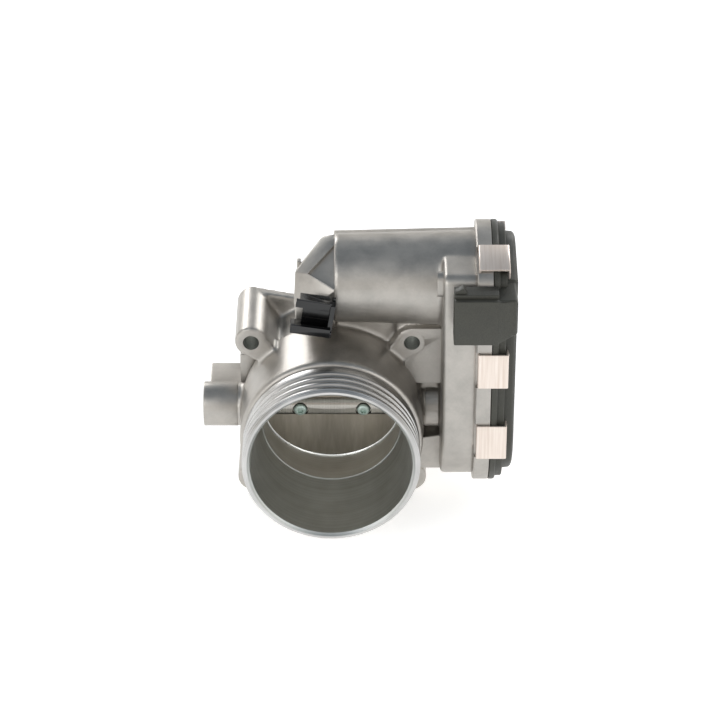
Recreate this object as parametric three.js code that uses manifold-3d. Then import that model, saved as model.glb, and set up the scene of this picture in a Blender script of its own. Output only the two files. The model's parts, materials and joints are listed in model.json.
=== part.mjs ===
// Electronic throttle body, 57 mm bore.
// Millimetres, +Z up. The air bore lies along Y with its hose mouth at -Y and its bolted flange at +Y.
// The throttle shaft, the gears and the motor lie along X, and the gear cover is at +X.
// Everything is laid out about the crossing of the bore and shaft axes, then lifted as one group
// so that the origin is at the bottom centre of the whole assembly.
import * as THREE from 'three';
import { mergeVertices } from 'three/addons/utils/BufferGeometryUtils.js';
import { ConvexGeometry } from 'three/addons/geometries/ConvexGeometry.js';
import Module from 'manifold-3d';

const wasm = await Module();
wasm.setup();
const { Manifold, Mesh } = wasm;

// ---------- driving dimensions ----------
const CLEAR = 0.3;            // gap kept between touching pieces

const BORE_R = 28.5;          // cylindrical bore at the plate
const MOUTH_R = 32.7;         // inside of the hose mouth
const SPIGOT_R = 35.8;        // outside of the hose spigot
const BODY_R = 37.2;          // cast body round the bore
const MOUTH_Y = -48;
const FLANGE_Y = 29;          // face that bolts to the manifold
const FLANGE_T = 4.6;
const BOLT = 32.7;            // bolt holes at +-BOLT in X and Z
const BOLT_R = 3.25;
const BOSS_R = 6.6;
const BOSS_Y = -5.6;          // front faces of the bolt bosses

const PLATE_R = 28.2;
const PLATE_T = 2.0;
const PLATE_TILT = 10;        // degrees from square to the bore, at rest
const SHAFT_R = 4.5;
const SHAFT_END_R = 4.0;      // necked drive end that carries the gear
const SCREW_X = 13.0;         // plate screws at +-SCREW_X
const SHAFT_BOSS_R = 9.0;
const BEARING_R = 6.8;

const MOTOR = [1, 59.3];      // motor axis, Y and Z
const IDLER = [0, 29.66];     // idler axis, Y and Z
const SHAFT = [0, 0];
const BARREL_X = 0.6;         // closed end of the motor barrel
const BARREL_R0 = 17.9;
const BARREL_R1 = 19.3;

const FLOOR_X = 47.2;         // outside of the gearbox floor
const FLOOR_T = 2.8;
const RIM_X = 57.8;           // the gearbox rim that the clips grip starts here
const JOINT_X = 64.0;         // face where the cover meets the rim
const WALL = 2.4;
const RIM = 2.8;              // how far the rim stands out of the gearbox wall
const REAR_LIMIT = 28.6;      // nothing of the gearbox passes behind the manifold face

const CLIP_X0 = 58.5;         // cover clips reach from here
const CLIP_X1 = 70.8;         // to here

const MODULE = 0.8;
const SECTOR_TEETH = 58;
const IDLER_SMALL = 16;
const IDLER_LARGE = 60;
const PINION_TEETH = 14;

// ---------- materials ----------
function finish(hex, metalness, roughness) {
  return new THREE.MeshStandardMaterial({ color: hex, metalness, roughness });
}

const MATERIALS = {
  cast_aluminium: finish(0xb4b0aa, 0.7, 0.45),
  black_plastic: finish(0x26272a, 0.0, 0.35),
  grey_plastic: finish(0x4a4a44, 0.0, 0.6),
  natural_plastic: finish(0xd8d2c0, 0.0, 0.5),
  steel: finish(0x9c9a94, 0.9, 0.3),
  clip_steel: finish(0xc3b5a8, 0.85, 0.3),
  zinc_steel: finish(0x9db0a4, 0.8, 0.35),
  brass: finish(0xb08d57, 0.85, 0.35),
  plate_alloy: finish(0x8a8178, 0.6, 0.5),
  rubber: finish(0x1c1c1c, 0.0, 0.8),
  magnet: finish(0x3a3a3c, 0.4, 0.5),
  board_green: finish(0x2c5a3c, 0.1, 0.5),
};

// ---------- solids ----------
function solidOf(geometry) {
  const bare = geometry.index ? geometry.toNonIndexed() : geometry.clone();
  bare.deleteAttribute('normal');
  bare.deleteAttribute('uv');
  const merged = mergeVertices(bare, 1e-4);
  return new Manifold(new Mesh({
    numProp: 3,
    vertProperties: new Float32Array(merged.attributes.position.array),
    triVerts: new Uint32Array(merged.index.array),
  }));
}

function join(...solids) {
  return Manifold.union(solids.flat());
}

function geometryOf(solid) {
  const mesh = solid.getMesh();
  const geometry = new THREE.BufferGeometry();
  const positions = new Float32Array(mesh.numVert * 3);
  for (let i = 0; i < mesh.numVert; i += 1) {
    for (let k = 0; k < 3; k += 1) {
      positions[3 * i + k] = mesh.vertProperties[mesh.numProp * i + k];
    }
  }
  geometry.setAttribute('position', new THREE.BufferAttribute(positions, 3));
  geometry.setIndex(new THREE.BufferAttribute(new Uint32Array(mesh.triVerts), 1));
  const flat = geometry.toNonIndexed();
  flat.computeVertexNormals();
  return flat;
}

// A profile of [radius, y] turned about the Y axis.
function turnedY(profile, segments = 48) {
  const points = profile.map(([r, y]) => new THREE.Vector2(r, y));
  return solidOf(new THREE.LatheGeometry(points, segments));
}

// A profile of [radius, x] turned about an axis along X through (y, z).
function turnedX(profile, [y, z] = SHAFT, segments = 32) {
  const points = profile.map(([r, x]) => new THREE.Vector2(r, -x)).reverse();
  const geometry = new THREE.LatheGeometry(points, segments);
  geometry.rotateZ(Math.PI / 2);
  geometry.translate(0, y, z);
  return solidOf(geometry);
}

function rodX(radius, x0, x1, centre = SHAFT, segments = 24) {
  return turnedX([[0, x0], [radius, x0], [radius, x1], [0, x1]], centre, segments);
}

function tubeX(inner, outer, x0, x1, centre = SHAFT, segments = 24) {
  const profile = [[inner, x0], [outer, x0], [outer, x1], [inner, x1], [inner, x0]];
  return turnedX(profile, centre, segments);
}

function rodY(radius, y0, y1, x, z, segments = 32) {
  return turnedY([[0, y0], [radius, y0], [radius, y1], [0, y1]], segments).translate([x, 0, z]);
}

function block(x0, x1, y0, y1, z0, z1) {
  const geometry = new THREE.BoxGeometry(x1 - x0, y1 - y0, z1 - z0);
  geometry.translate((x0 + x1) / 2, (y0 + y1) / 2, (z0 + z1) / 2);
  return solidOf(geometry);
}

function extruded(points, depth) {
  const shape = new THREE.Shape(points.map(([a, b]) => new THREE.Vector2(a, b)));
  return new THREE.ExtrudeGeometry(shape, { depth, bevelEnabled: false, steps: 1 });
}

// A polygon of [x, z] carried from y0 to y1.
function prismY(points, y0, y1) {
  const geometry = extruded(points, y1 - y0);
  geometry.rotateX(Math.PI / 2);
  geometry.translate(0, y1, 0);
  return solidOf(geometry);
}

// A polygon of [y, z] carried from x0 to x1.
function prismX(points, x0, x1) {
  const geometry = extruded(points, x1 - x0);
  const turn = new THREE.Matrix4().makeBasis(
    new THREE.Vector3(0, 1, 0),
    new THREE.Vector3(0, 0, 1),
    new THREE.Vector3(1, 0, 0),
  );
  geometry.applyMatrix4(turn);
  geometry.translate(x0, 0, 0);
  return solidOf(geometry);
}

function lump(points) {
  return solidOf(new ConvexGeometry(points.map(([x, y, z]) => new THREE.Vector3(x, y, z))));
}

function circlePoints(radius, [a, b], count, start = 0) {
  const points = [];
  for (let i = 0; i < count; i += 1) {
    const t = start + (2 * Math.PI * i) / count;
    points.push([a + radius * Math.cos(t), b + radius * Math.sin(t)]);
  }
  return points;
}

// ---------- gearbox outline ----------
// The outline is the tight band round a few circles in the YZ plane: [y, z, radius].
const WALL_CIRCLES = [
  [-0.8, 0, 28.0],
  [0, IDLER[1], 28.0],
  [MOTOR[0], MOTOR[1], 16.0],
  [-24.8, 71.3, 4.0],
];
const RIM_CIRCLES = [
  [-0.8, 0, 28.0],
  [0, IDLER[1], 28.0],
  [MOTOR[0], MOTOR[1], 20.9],
  [-24.8, 71.3, 4.0],
];

function bandOutline(circles, offset, count = 40) {
  const points = [];
  for (let i = 0; i < count; i += 1) {
    const t = (2 * Math.PI * (i + 0.5)) / count;
    const ny = Math.cos(t);
    const nz = Math.sin(t);
    let best = circles[0];
    let reach = -Infinity;
    for (const circle of circles) {
      const d = circle[0] * ny + circle[1] * nz + circle[2];
      if (d > reach) {
        reach = d;
        best = circle;
      }
    }
    const y = best[0] + (best[2] + offset) * ny;
    const z = best[1] + (best[2] + offset) * nz;
    points.push([Math.min(y, REAR_LIMIT + Math.min(offset - RIM, 0) * 0.2), z]);
  }
  return points;
}

// A closed solid whose outline steps through levels of [x, offset].
function bandLoft(circles, levels, count = 40) {
  const rings = levels.map(([x, offset]) => bandOutline(circles, offset, count)
    .map(([y, z]) => [x, y, z]));
  const positions = [];
  const put = (...corners) => corners.forEach((c) => positions.push(...c));
  for (let k = 0; k + 1 < rings.length; k += 1) {
    for (let i = 0; i < count; i += 1) {
      const j = (i + 1) % count;
      put(rings[k][i], rings[k][j], rings[k + 1][j]);
      put(rings[k][i], rings[k + 1][j], rings[k + 1][i]);
    }
  }
  const first = rings[0];
  const last = rings[rings.length - 1];
  for (let i = 0; i < count; i += 1) {
    const j = (i + 1) % count;
    put([first[0][0], 0, 30], first[j], first[i]);
    put([last[0][0], 0, 30], last[i], last[j]);
  }
  const geometry = new THREE.BufferGeometry();
  geometry.setAttribute('position', new THREE.Float32BufferAttribute(positions, 3));
  return solidOf(geometry);
}

// ---------- gears ----------
// Outline of involute teeth as [y, z], counted by angle from +Z towards -Y.
function toothOutline(teeth, first, last, phase, backlash = 0.12) {
  const pitch = (MODULE * teeth) / 2;
  const base = pitch * Math.cos(THREE.MathUtils.degToRad(20));
  const inv = (r) => {
    const a = Math.acos(Math.min(1, base / Math.max(r, base)));
    return Math.tan(a) - a;
  };
  const half = (r) => Math.PI / (2 * teeth) - backlash / (2 * pitch) + inv(pitch) - inv(r);
  const root = pitch - 1.25 * MODULE;
  const tip = pitch + 0.9 * MODULE;
  const radii = teeth > 40 ? [root, tip] : [root, Math.max(pitch, base), tip];
  const points = [];
  for (let k = first; k < last; k += 1) {
    const centre = phase + (2 * Math.PI * k) / teeth;
    for (const r of radii) {
      points.push([r, centre - half(r)]);
    }
    for (const r of [...radii].reverse()) {
      points.push([r, centre + half(r)]);
    }
  }
  return points;
}

function polarToYZ(points, [cy, cz]) {
  return points.map(([r, t]) => [cy - r * Math.sin(t), cz + r * Math.cos(t)]);
}

// A whole toothed wheel on an axis along X.
function toothedWheel(teeth, phase, x0, x1, centre) {
  const outline = polarToYZ(toothOutline(teeth, 0, teeth, phase), centre);
  return prismX(outline, x0, x1);
}

// ---------- housing ----------
const SPIGOT_PROFILE = [
  [0, MOUTH_Y], [34.4, MOUTH_Y], [SPIGOT_R, MOUTH_Y + 1.4],
  [SPIGOT_R, -45.4], [34.6, -44.8], [34.6, -43.4], [SPIGOT_R, -42.8],
  [SPIGOT_R, -41.4], [34.6, -40.8], [34.6, -39.4], [SPIGOT_R, -38.8],
  [SPIGOT_R, -37.4], [34.6, -36.8], [34.6, -35.4], [SPIGOT_R, -34.8],
  [SPIGOT_R, -30.6], [35.2, -30.0], [35.2, -28.8], [36.2, -27.6], [BODY_R, -26.6],
  [BODY_R, 1], [34.4, 2.4], [34.4, FLANGE_Y - FLANGE_T - 1],
  [38, FLANGE_Y - FLANGE_T], [38, FLANGE_Y], [0, FLANGE_Y],
];

const BORE_PROFILE = [
  [0, MOUTH_Y - 1], [33.8, MOUTH_Y - 1], [33.6, MOUTH_Y], [MOUTH_R, MOUTH_Y + 0.9],
  [30.3, -12], [29.9, -11.2], [BORE_R, -10.2], [BORE_R, FLANGE_Y + 1], [0, FLANGE_Y + 1],
];

function boltBoss(sx, sz) {
  const web = prismY([[0, 0], [29, 22.6], [36.8, 27.9], [27.9, 36.8], [22.6, 29]]
    .map(([x, z]) => [sx * x, sz * z]), BOSS_Y, FLANGE_Y);
  return join(web, rodY(BOSS_R, BOSS_Y, FLANGE_Y, sx * BOLT, sz * BOLT, 20));
}

const EAR_A = [-16.8, 69.2];  // motor plate screws, Y and Z
const EAR_B = [14.1, 43.7];

function throttleHousing() {
  const edge = BOLT + BOSS_R;
  const star = [[-BOLT, edge], [0, 33], [BOLT, edge], [edge, BOLT], [33, 0], [edge, -BOLT],
    [BOLT, -edge], [0, -33], [-BOLT, -edge], [-edge, -BOLT], [-33, 0], [-edge, BOLT]].reverse();
  const bosses = [];
  for (const sx of [-1, 1]) {
    for (const sz of [-1, 1]) {
      bosses.push(boltBoss(sx, sz));
    }
  }
  // faceted hood over the closed end of the motor barrel
  const wedge = lump([
    [1.5, 3.1, 74.4], [1.5, -15.6, 62.4], [-9.3, -6.2, 64.9], [-14.5, -2.3, 63.6],
    [-3.8, 7.6, 74.1], [1.5, 7.6, 75.6], [-3.8, 12, 72], [-14.5, 12, 57], [-15, -8.2, 53.7],
    [-14.2, -13, 46], [0.2, -13, 46], [-14.2, 12, 40], [1.5, 12, 36], [1.5, -3, 38],
  ]);
  const tongue = prismY(
    [[-14.2, 44.5], [0.2, 44.5], [0.2, 52.3], [5.2, 59.4], [-9.5, 59.4], [-14.2, 56.5]],
    -16.5, -13.6,
  );
  const tongueRoot = prismY([[-9.5, 44.5], [0.2, 44.5], [0.2, 57], [-9.5, 57]], -14, 4);
  const cover = bandLoft(RIM_CIRCLES, [[RIM_X, RIM], [JOINT_X, RIM]]);
  const box = bandLoft(WALL_CIRCLES, [[FLOOR_X, -1.2], [FLOOR_X + 1.2, 0], [RIM_X + 1, 0]]);
  const barrel = turnedX(
    [[0, BARREL_X], [BARREL_R0, BARREL_X], [BARREL_R1, RIM_X + 1], [0, RIM_X + 1]], MOTOR, 40,
  );
  const solid = join(
    turnedY(SPIGOT_PROFILE, 48),
    prismY(star, FLANGE_Y - FLANGE_T, FLANGE_Y),
    bosses,
    // blocks that tie the bore to the gearbox
    prismY([[24, 24], [26.1, 34], [BOLT, edge], [48.5, edge], [48.5, 13.3], [30, 13.3]].reverse(),
      BOSS_Y, 24.6),
    prismY([[24, -28], [48.5, -28], [48.5, -11.2], [28, -14.4], [24, -15]], BOSS_Y, 25),
    block(28, 48.5, 12, 25, -16, 16),
    block(28, 48.5, -1.5, 12.2, 7, 13.6),
    rodX(SHAFT_BOSS_R, 30, 49, SHAFT, 28),
    // far shaft boss with the rib behind it
    rodX(SHAFT_BOSS_R, -52.8, -30, SHAFT, 28),
    block(-50.5, -33, 1, 20, -7.7, 7.7),
    block(-37.9, -30, 4, 26, 5, 21),
    // motor barrel with its neck, closed end and clip tongue
    barrel,
    block(2, 49, 0, 19, 30, 46),
    block(-12, 4, 2, 16, 30, 46),
    wedge,
    tongue,
    tongueRoot,
    // gearbox
    box,
    cover,
    rodX(3.2, 43.5, 49, [-19.5, 72.2], 20),
  );
  const cavity = join(
    bandLoft(WALL_CIRCLES, [[FLOOR_X + FLOOR_T, -WALL], [RIM_X + 1, -WALL]]),
    bandLoft(RIM_CIRCLES, [[RIM_X + 0.4, -WALL], [JOINT_X + 1, -WALL]]),
  );
  const inside = join(
    rodX(5, FLOOR_X + 1, 55.8, IDLER, 24),
    rodX(SHAFT_BOSS_R, FLOOR_X + 1, 50.4, SHAFT, 24),
    rodX(3.4, FLOOR_X + 1, 52.4, EAR_A, 16),
    rodX(3.4, FLOOR_X + 1, 52.4, EAR_B, 16),
    block(FLOOR_X + 1, 53.6, -5.5, -2.5, -14.6, -11.2),
    block(FLOOR_X + 1, 64, 17.6, 21.4, -17.6, -13.6),
  );
  const holes = [
    turnedY(BORE_PROFILE, 48),
    rodX(SHAFT_R + CLEAR, -49, 51, SHAFT, 24),
    rodX(BEARING_R + CLEAR, -54, -37, SHAFT, 24),
    rodX(BEARING_R + CLEAR, 39.5, 51, SHAFT, 24),
    rodX(16.2, 5, RIM_X, MOTOR, 28),
    rodX(2.5 + CLEAR, 48.2, 57, IDLER, 20),
    rodX(1.2, 49, 53, EAR_A, 12),
    rodX(1.2, 49, 53, EAR_B, 12),
    tongueHole(0.1),
    bandLoft(RIM_CIRCLES, [[JOINT_X - 1.7, 1.5], [JOINT_X + 1, 1.5]])
      .subtract(bandLoft(RIM_CIRCLES, [[JOINT_X - 2, -0.5], [JOINT_X + 2, -0.5]])),
  ];
  // pockets in the rim that let the clips sink in
  for (const [y, z, turn] of clipPlaces()) {
    holes.push(block(RIM_X - 0.6, CLIP_X0 + 0.75, -8.1, 8.1, -2.6, 3)
      .rotate([turn, 0, 0]).translate([0, y, z]));
  }
  for (const sx of [-1, 1]) {
    for (const sz of [-1, 1]) {
      holes.push(rodY(BOLT_R, BOSS_Y - 1, FLANGE_Y + 1, sx * BOLT, sz * BOLT, 16));
    }
  }
  return join(solid.subtract(cavity), inside).subtract(join(holes));
}

// ---------- throttle shaft, plate and their bearings ----------
function tilted(solid) {
  return solid.rotate([PLATE_TILT, 0, 0]);
}

function throttleShaft() {
  const rod = turnedX([
    [0, -47.6], [SHAFT_R - 0.6, -47.6], [SHAFT_R, -47], [SHAFT_R, 50.6],
    [SHAFT_END_R, 51], [SHAFT_END_R, 65.4], [SHAFT_END_R - 0.6, 66], [0, 66],
  ], SHAFT, 24);
  const slot = block(-PLATE_R - 0.6, PLATE_R + 0.6, -PLATE_T / 2 - CLEAR / 2,
    PLATE_T / 2 + CLEAR / 2, -SHAFT_R - 1, SHAFT_R + 1);
  const cuts = [slot, block(59, 67, 2.9, 5, -5, 5)];
  for (const x of [-SCREW_X, SCREW_X]) {
    cuts.push(rodY(3.3, -SHAFT_R - 1, -3.1, x, 0, 24));
    cuts.push(rodY(1.5 + CLEAR, -SHAFT_R - 1, 3.4, x, 0, 16));
  }
  return tilted(rod.subtract(join(cuts)));
}

function throttlePlate() {
  const disc = rodY(PLATE_R, -PLATE_T / 2, PLATE_T / 2, 0, 0, 48);
  const holes = [-SCREW_X, SCREW_X].map((x) => rodY(1.5 + CLEAR, -2, 2, x, 0, 16));
  return tilted(disc.subtract(join(holes)));
}

function plateScrew(x) {
  const screw = turnedY([
    [0, -4.9], [1.9, -4.9], [2.5, -4.5], [2.7, -3.9], [2.7, -3.4], [1.5, -3.4], [1.5, 3], [0, 3],
  ], 20);
  const drive = prismY(circlePoints(0.95, [0, 0], 6), -5.2, -4.1);
  return tilted(screw.subtract(drive).translate([x, 0, 0]));
}

function bearing(x0, x1) {
  const outer = BEARING_R;
  const inner = SHAFT_R + CLEAR;
  return turnedX([
    [inner, x0], [inner + 0.5, x0], [inner + 0.5, x0 + 0.4], [outer, x0 + 0.4],
    [outer, x1 - 0.4], [inner + 0.5, x1 - 0.4], [inner + 0.5, x1], [inner, x1], [inner, x0],
  ], SHAFT, 24);
}

function shaftSeal(x0, x1) {
  return turnedX([
    [SHAFT_R + 0.15, x0 + 0.4], [SHAFT_R + 1, x0], [BEARING_R, x0], [BEARING_R, x1],
    [SHAFT_R + 1.2, x1], [SHAFT_R + 0.15, x0 + 0.9], [SHAFT_R + 0.15, x0 + 0.4],
  ], SHAFT, 24);
}

function shaftPlug() {
  return turnedX([[0, -52.3], [5.8, -52.3], [6.8, -51.7], [6.8, -48.4], [5.8, -48.4],
    [5.8, -51.2], [0, -51.2]], SHAFT, 24);
}

// ---------- gear train ----------
function throttleGear() {
  const step = (2 * Math.PI) / SECTOR_TEETH;
  const teeth = toothOutline(SECTOR_TEETH, -14, 4, step / 2);
  const ends = [teeth[teeth.length - 1][1] + 0.01, teeth[0][1] - 0.01];
  const rim = [...teeth, [20.5, ends[0]], [10, ends[0] + 0.5]];
  for (let i = 1; i < 12; i += 1) {
    rim.push([10, ends[0] + 0.5 + ((ends[1] - 0.5 - ends[0] - 0.5 + 2 * Math.PI) * i) / 12]);
  }
  rim.push([10, ends[1] - 0.5], [20.5, ends[1]]);
  const disc = prismX(polarToYZ(rim, SHAFT), 60.4, 65.2);
  const hub = rodX(8.2, 60.4, 69, SHAFT, 24);
  const relief = [];
  for (const t of [-1.25, -0.72, -0.19]) {
    const centre = [-15 * Math.sin(t), 15 * Math.cos(t)];
    relief.push(rodX(3.1, 63.2, 66, centre, 16));
  }
  const lug = block(54.2, 61, 1.0, 4.2, -14.2, -10.8);
  const root = prismX([[-3, -9], [5.5, -9], [4.2, -14.2], [1.0, -14.2]], 60.4, 64.4);
  const flat = tilted(block(59, 67, 3.2, 6, -6, 6));
  const bore = rodX(SHAFT_END_R + CLEAR, 59, 66.3, SHAFT, 24).subtract(flat);
  return join(disc, hub, lug, root).subtract(join(bore, tubeX(3, 6.4, 66.8, 70), relief));
}

function magnet(side) {
  const ring = tubeX(3.3, 6.1, 67.1, 68.8, SHAFT, 24);
  const half = side > 0 ? block(66, 70, 0.4, 8, -8, 8) : block(66, 70, -8, -0.4, -8, 8);
  return ring.intersect(half);
}

function idlerGear() {
  const toMotor = Math.atan2(-(MOTOR[0] - IDLER[0]), MOTOR[1] - IDLER[1]);
  const large = toothedWheel(IDLER_LARGE, toMotor, 56.2, 59.6, IDLER);
  const small = toothedWheel(IDLER_SMALL, Math.PI, 59.4, 66.0, IDLER);
  const web = tubeX(7.6, 19.5, 58.6, 60, IDLER, 24);
  const lighten = tubeX(8.6, 19.5, 55.5, 56.9, IDLER, 24);
  const bore = rodX(2.5 + CLEAR, 55, 67, IDLER, 20);
  return join(large, small).subtract(join(web.subtract(rodX(8, 58, 61, IDLER)), lighten, bore));
}

function motorPinion() {
  const toIdler = Math.atan2(-(IDLER[0] - MOTOR[0]), IDLER[1] - MOTOR[1]);
  const gap = Math.PI / PINION_TEETH;
  return toothedWheel(PINION_TEETH, toIdler + gap, 55.9, 60.2, MOTOR)
    .subtract(rodX(1.5 + 0.15, 55, 61, MOTOR, 16));
}

function returnSpring() {
  const turns = 3.3;
  const count = 54;
  const path = [];
  const radius = 8.7;
  const start = -0.55 * Math.PI;
  for (let i = 0; i <= count; i += 1) {
    const t = start + (2 * Math.PI * turns * i) / count;
    const x = 51.6 + (3.6 * i) / count;
    path.push(new THREE.Vector3(x, radius * Math.cos(t), radius * Math.sin(t)));
  }
  const curve = new THREE.CatmullRomCurve3(path);
  const wire = new THREE.Shape(circlePoints(0.5, [0, 0], 7).map(([a, b]) => new THREE.Vector2(a, b)));
  return solidOf(new THREE.ExtrudeGeometry(wire, {
    steps: count, extrudePath: curve, bevelEnabled: false,
  }));
}

// ---------- motor ----------
function motorCan() {
  return turnedX([
    [3.2, 8.6], [5, 8.6], [5, 7.2], [14.6, 7.2], [15.8, 8.4], [15.8, 49.4], [14.9, 49.4],
    [14.9, 9.6], [3.2, 9.6], [3.2, 8.6],
  ], MOTOR, 28);
}

function motorArmature() {
  return join(
    rodX(1.5, 7.4, 60.5, MOTOR, 14),
    rodX(10.5, 14, 40, MOTOR, 24),
    rodX(5, 42, 47, MOTOR, 20),
  );
}

function motorBrushPlate() {
  return tubeX(1.8, 15.4, 49.8, 52.4, MOTOR, 28);
}

function motorPlate() {
  const disc = join(rodX(15.2, 52.7, 53.7, MOTOR, 28), ...[EAR_A, EAR_B].map((ear) => {
    const dy = ear[0] - MOTOR[0];
    const dz = ear[1] - MOTOR[1];
    const length = Math.hypot(dy, dz);
    const wy = (-dz / length) * 3;
    const wz = (dy / length) * 3;
    const arm = prismX([
      [MOTOR[0] + wy, MOTOR[1] + wz], [ear[0] + wy, ear[1] + wz],
      [ear[0] - wy, ear[1] - wz], [MOTOR[0] - wy, MOTOR[1] - wz],
    ].reverse(), 52.7, 53.7);
    return join(arm, rodX(3, 52.7, 53.7, ear, 16));
  }));
  const holes = [rodX(4.5, 52, 54, MOTOR, 20), rodX(1.6, 52, 54, EAR_A, 12),
    rodX(1.6, 52, 54, EAR_B, 12)];
  return disc.subtract(join(holes));
}

function motorScrew(ear) {
  const screw = turnedX([[0, 49.6], [0.9, 49.6], [1.1, 50], [1.1, 54], [2.4, 54], [2.4, 55.1],
    [2, 55.5], [0, 55.5]], ear, 16);
  return screw.subtract(prismX(circlePoints(0.9, ear, 6), 54.8, 56));
}

function waveWasher() {
  return tubeX(6, 12, 5.6, 6.6, MOTOR, 28);
}

// ---------- cover, seal, clips and connector ----------
const PLUG = { x0: 48.4, x1: 66.0, y0: -42, y1: -32.2, z0: 52.6, z1: 73.9 };

function contactRow() {
  const row = [];
  for (let i = 0; i < 6; i += 1) {
    row.push(56.9 + 2.54 * i);
  }
  return row;
}

function gearCover() {
  const shell = join(
    bandLoft(RIM_CIRCLES, [[64.3, RIM], [66.2, RIM], [66.8, RIM - 0.6]]),
    bandLoft(RIM_CIRCLES, [[66.3, 1.2], [69.6, 1.2]]),
    bandLoft(RIM_CIRCLES, [[69, -2.0], [72.6, -2.2], [73.6, -3.0], [74, -4.4]]),
  );
  const hollow = join(
    bandLoft(RIM_CIRCLES, [[64, -2], [68.6, -2]]),
    bandLoft(RIM_CIRCLES, [[68, -4.2], [72.4, -4.6]]),
  );
  const bosses = join(
    tubeX(2.5 + CLEAR, 5, 66.6, 72.8, IDLER, 24),
    tubeX(4, 6, 69.8, 72.8, [-14, 10], 16),
    tubeX(4, 6, 69.8, 72.8, [14, -10], 16),
  );
  const stand = join(
    rodX(1.6, 70.9, 72.8, [-13, -9], 12),
    rodX(1.6, 70.9, 72.8, [13, 9], 12),
  );
  const { x0, x1, y0, y1, z0, z1 } = PLUG;
  const socket = join(
    block(x0, x1, y0, y1, z0, z1 - 1.6),
    block(x0, x1, y0 + 2.6, y1, z1 - 3, z1),
    prismY([[x0 + 0.4, z1 - 1], [x0 + 5, z1 - 1], [x0 + 5, z1 + 0.4], [x0 + 3.4, z1 + 2.4],
      [x0 + 0.4, z1 + 0.6]], -38.4, -35),
    block(x1 - 0.6, 73.0, y0 + 1.2, -25, z0 + 3.6, z1 - 1.6),
    lump([
      [x1 - 1, y0, z0], [x1 - 1, y0, z1 - 1.6], [x1 - 1, y1, z0], [x1 - 1, y1, z1 - 1.6],
      [73.6, y0 + 3, z0 + 3.6], [73.6, y0 + 3, z1 - 3.6],
      [73.6, y1, z0 + 3.6], [73.6, y1, z1 - 3.6],
    ]),
  );
  const mouth = block(x0 - 1, x1 - 4, y0 + 1.7, y1 - 1.7, z0 + 1.7, z1 - 3.3);
  const slots = contactRow().map((z) => block(x1 - 5, x1 - 0.9, -37.9, -36.3, z - 0.7, z + 0.7));
  return join(shell.subtract(hollow), bosses, stand, socket).subtract(join(mouth, slots));
}

function connectorPin(z) {
  return lump([
    [54.4, -37.3, z - 0.2], [54.4, -36.9, z - 0.2], [54.4, -37.3, z + 0.2], [54.4, -36.9, z + 0.2],
    [55.4, -37.5, z - 0.4], [55.4, -36.7, z - 0.4], [55.4, -37.5, z + 0.4], [55.4, -36.7, z + 0.4],
    [64.8, -37.5, z - 0.4], [64.8, -36.7, z - 0.4], [64.8, -37.5, z + 0.4], [64.8, -36.7, z + 0.4],
  ]);
}

function coverSeal() {
  return bandLoft(RIM_CIRCLES, [[JOINT_X - 1.4, 1.2], [JOINT_X + 0.05, 1.2]])
    .subtract(bandLoft(RIM_CIRCLES, [[JOINT_X - 2, -0.2], [JOINT_X + 2, -0.2]]));
}

// A spring clip laid out against a face at z = 0 with its outside towards +Z, then turned into place.
function coverClip(y, z, turn) {
  const half = 7.65;
  const near = CLIP_X0;
  const far = CLIP_X1;
  const profile = [
    [near, 0.3], [near + 0.5, 1.1], [far - 0.5, 1.1], [far, 0.4], [far, -3.7], [far - 0.7, -4.0],
    [far - 0.7, 0.3], [near + 0.7, 0.3], [near + 0.7, -2.2], [near, -2.2],
  ].reverse();
  return prismY(profile, -half, half).rotate([turn, 0, 0]).translate([0, y, z]);
}

// Foot of each clip on the rim as [y, z, degrees turned]: one on the sloping shelf, two on the
// front, one round the back of the motor end and one under the throttle gear.
function clipPlaces() {
  const BACK_ANGLE = 16;
  const LOW_ANGLE = -62;
  const top = RIM_CIRCLES[2];
  const corner = RIM_CIRCLES[3];
  const low = RIM_CIRCLES[0];
  const gap = Math.hypot(top[0] - corner[0], top[1] - corner[1]);
  const lean = Math.asin((top[2] - corner[2]) / gap);
  const line = Math.atan2(top[1] - corner[1], top[0] - corner[0]);
  const normal = line + Math.PI / 2 + lean;
  const ny = Math.cos(normal);
  const nz = Math.sin(normal);
  const along = [top[0] + (top[2] + RIM) * ny, top[1] + (top[2] + RIM) * nz];
  const shelf = [along[0] - 16.6 * nz, along[1] + 16.6 * ny];
  const onCircle = ([y, z, r], degrees) => {
    const t = THREE.MathUtils.degToRad(degrees);
    return [y + (r + RIM) * Math.cos(t), z + (r + RIM) * Math.sin(t)];
  };
  return [
    [...shelf, THREE.MathUtils.radToDeg(normal) - 90],
    [-31.6, 34.8, 90],
    [-31.6, 1.4, 90],
    [...onCircle(top, BACK_ANGLE), BACK_ANGLE - 90],
    [...onCircle(low, LOW_ANGLE), LOW_ANGLE - 90],
  ];
}

function sensorBoard() {
  const board = block(69.2, 70.6, -16, 16, -12, 12);
  const holes = [[-13, -9], [13, 9]].map((c) => rodX(1.9, 68, 72, c, 12));
  const corners = [rodX(6.3, 68, 72, [-14, 10], 16), rodX(6.3, 68, 72, [14, -10], 16)];
  return board.subtract(join(holes)).subtract(join(corners));
}

function motorContact(side) {
  const y = MOTOR[0] + side * 8;
  return join(
    block(54.2, 67.6, y - 0.4, y + 0.4, 66.4, 69.2),
    block(66.8, 67.6, y - 0.4, y + 0.4, 64, 69.2),
  );
}

// ---------- hose clip ----------
// The clip is laid out level, then tipped about this point.
const HOSE_CLIP = { x: -6.7, z: 54, tip: 9 };

// Round socket in the tongue that the clip's peg is pushed into.
function tongueHole(extra = 0) {
  return rodY(1.6 + extra, -17.4, -9.6 + extra, -6.7, 52.6, 16);
}

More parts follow.
